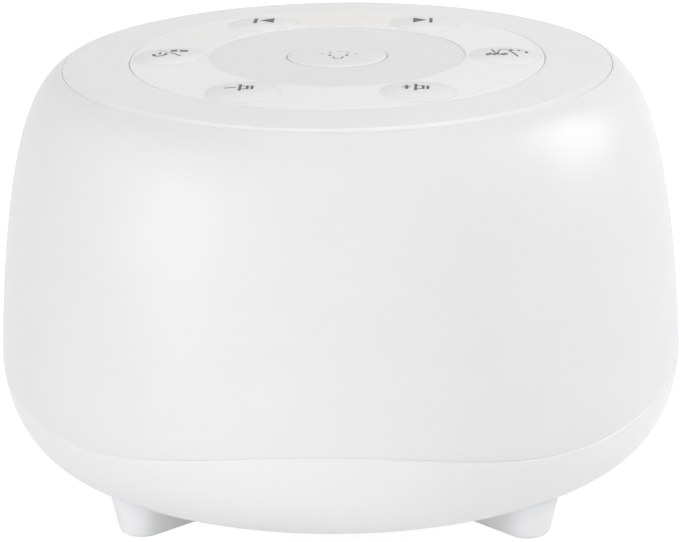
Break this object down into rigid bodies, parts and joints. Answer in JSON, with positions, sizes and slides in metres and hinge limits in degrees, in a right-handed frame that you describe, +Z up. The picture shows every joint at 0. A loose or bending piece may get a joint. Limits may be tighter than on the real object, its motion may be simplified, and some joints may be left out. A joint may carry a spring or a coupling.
{
  "type": "white noise machine",
  "caption": "Round bedside white noise speaker with a domed key ring, a centre light button, a wavy lower seam and radial fin feet.",
  "frame": {"origin": "on the surface that the feet stand on, under the middle of the body", "axes": "+Z up through the top, -Y towards the front, +X to the right seen from the front"},
  "size_m": [0.105, 0.105, 0.0666],
  "materials": {
    "shell_white": "satin",
    "cover_white": "satin",
    "ring_white": "satin translucent",
    "key_white": "satin",
    "plate_grey": "matte",
    "foot_silicone": "matte",
    "inner_white": "matte",
    "black_plastic": "matte",
    "board_green": "solder mask",
    "chip_black": "matte",
    "capacitor_sleeve": "gloss",
    "connector_ivory": "matte",
    "lamp_yellow": "gloss",
    "screw_steel": "zinc plated",
    "plate_steel": "zinc plated",
    "ferrite": "matte",
    "foam_black": "foam",
    "surround_rubber": "matte",
    "cone_paper": "pressed paper",
    "spider_cloth": "varnished cloth",
    "grille_cloth": "woven",
    "coil_copper": "enamelled copper",
    "wire_red": "gloss",
    "cable_white": "flat cable"
  },
  "bodies": {
    "body": {"housing": "shell_white", "base_shell": "shell_white", "foot_front_right": "foot_silicone", "foot_back_right": "foot_silicone", "foot_back_left": "foot_silicone", "foot_front_left": "foot_silicone", "base_screws": "screw_steel", "top_cover": "cover_white", "light_ring": "ring_white", "centre_plate": "plate_grey", "light_baffle": "inner_white", "key_switches": "black_plastic", "key_board": "board_green", "light_leds": "lamp_yellow", "key_board_screws": "screw_steel", "grille_cloth": "grille_cloth", "speaker_gasket": "foam_black", "speaker_frame": "black_plastic", "speaker_surround": "surround_rubber", "speaker_spider": "spider_cloth", "speaker_front_plate": "plate_steel", "speaker_magnet": "ferrite", "speaker_back_plate": "plate_steel", "speaker_screws": "screw_steel", "speaker_leads": "wire_red", "main_board": "board_green", "board_chips": "chip_black", "board_capacitors": "capacitor_sleeve", "board_connectors": "connector_ivory", "main_board_screws": "screw_steel", "ribbon_cable": "cable_white", "socket_board": "board_green", "power_socket": "screw_steel", "socket_tongue": "black_plastic", "socket_screws": "screw_steel", "power_leads": "wire_red"},
    "light_key": {"light_button": "plate_grey", "plunger_light": "black_plastic"},
    "timer_key": {"key_timer": "key_white", "plunger_timer": "black_plastic"},
    "volume_down_key": {"key_volume_down": "key_white", "plunger_volume_down": "black_plastic"},
    "volume_up_key": {"key_volume_up": "key_white", "plunger_volume_up": "black_plastic"},
    "sound_key": {"key_sound": "key_white", "plunger_sound": "black_plastic"},
    "next_key": {"key_next": "key_white", "plunger_next": "black_plastic"},
    "previous_key": {"key_previous": "key_white", "plunger_previous": "black_plastic"},
    "cone": {"speaker_cone": "cone_paper", "speaker_dust_cap": "cone_paper", "voice_coil": "coil_copper"}
  },
  "joints": [
    {"name": "light_press", "type": "slide", "parent": "body", "child": "light_key", "axis": [0, 0, -1], "range_m": [0, 0.0005], "stiffness_N_per_m": 1500, "springref_m": -0.0004},
    {"name": "timer_press", "type": "slide", "parent": "body", "child": "timer_key", "axis": [0, 0, -1], "range_m": [0, 0.0005], "stiffness_N_per_m": 1500, "springref_m": -0.0004},
    {"name": "volume_down_press", "type": "slide", "parent": "body", "child": "volume_down_key", "axis": [0, 0, -1], "range_m": [0, 0.0005], "stiffness_N_per_m": 1500, "springref_m": -0.0004},
    {"name": "volume_up_press", "type": "slide", "parent": "body", "child": "volume_up_key", "axis": [0, 0, -1], "range_m": [0, 0.0005], "stiffness_N_per_m": 1500, "springref_m": -0.0004},
    {"name": "sound_press", "type": "slide", "parent": "body", "child": "sound_key", "axis": [0, 0, -1], "range_m": [0, 0.0005], "stiffness_N_per_m": 1500, "springref_m": -0.0004},
    {"name": "next_press", "type": "slide", "parent": "body", "child": "next_key", "axis": [0, 0, -1], "range_m": [0, 0.0005], "stiffness_N_per_m": 1500, "springref_m": -0.0004},
    {"name": "previous_press", "type": "slide", "parent": "body", "child": "previous_key", "axis": [0, 0, -1], "range_m": [0, 0.0005], "stiffness_N_per_m": 1500, "springref_m": -0.0004},
    {"name": "cone_stroke", "type": "slide", "parent": "body", "child": "cone", "axis": [0, 0, 1], "range_m": [-0.0008, 0.0008], "stiffness_N_per_m": 1000, "deforming": ["speaker_surround", "speaker_spider"]}
  ]
}
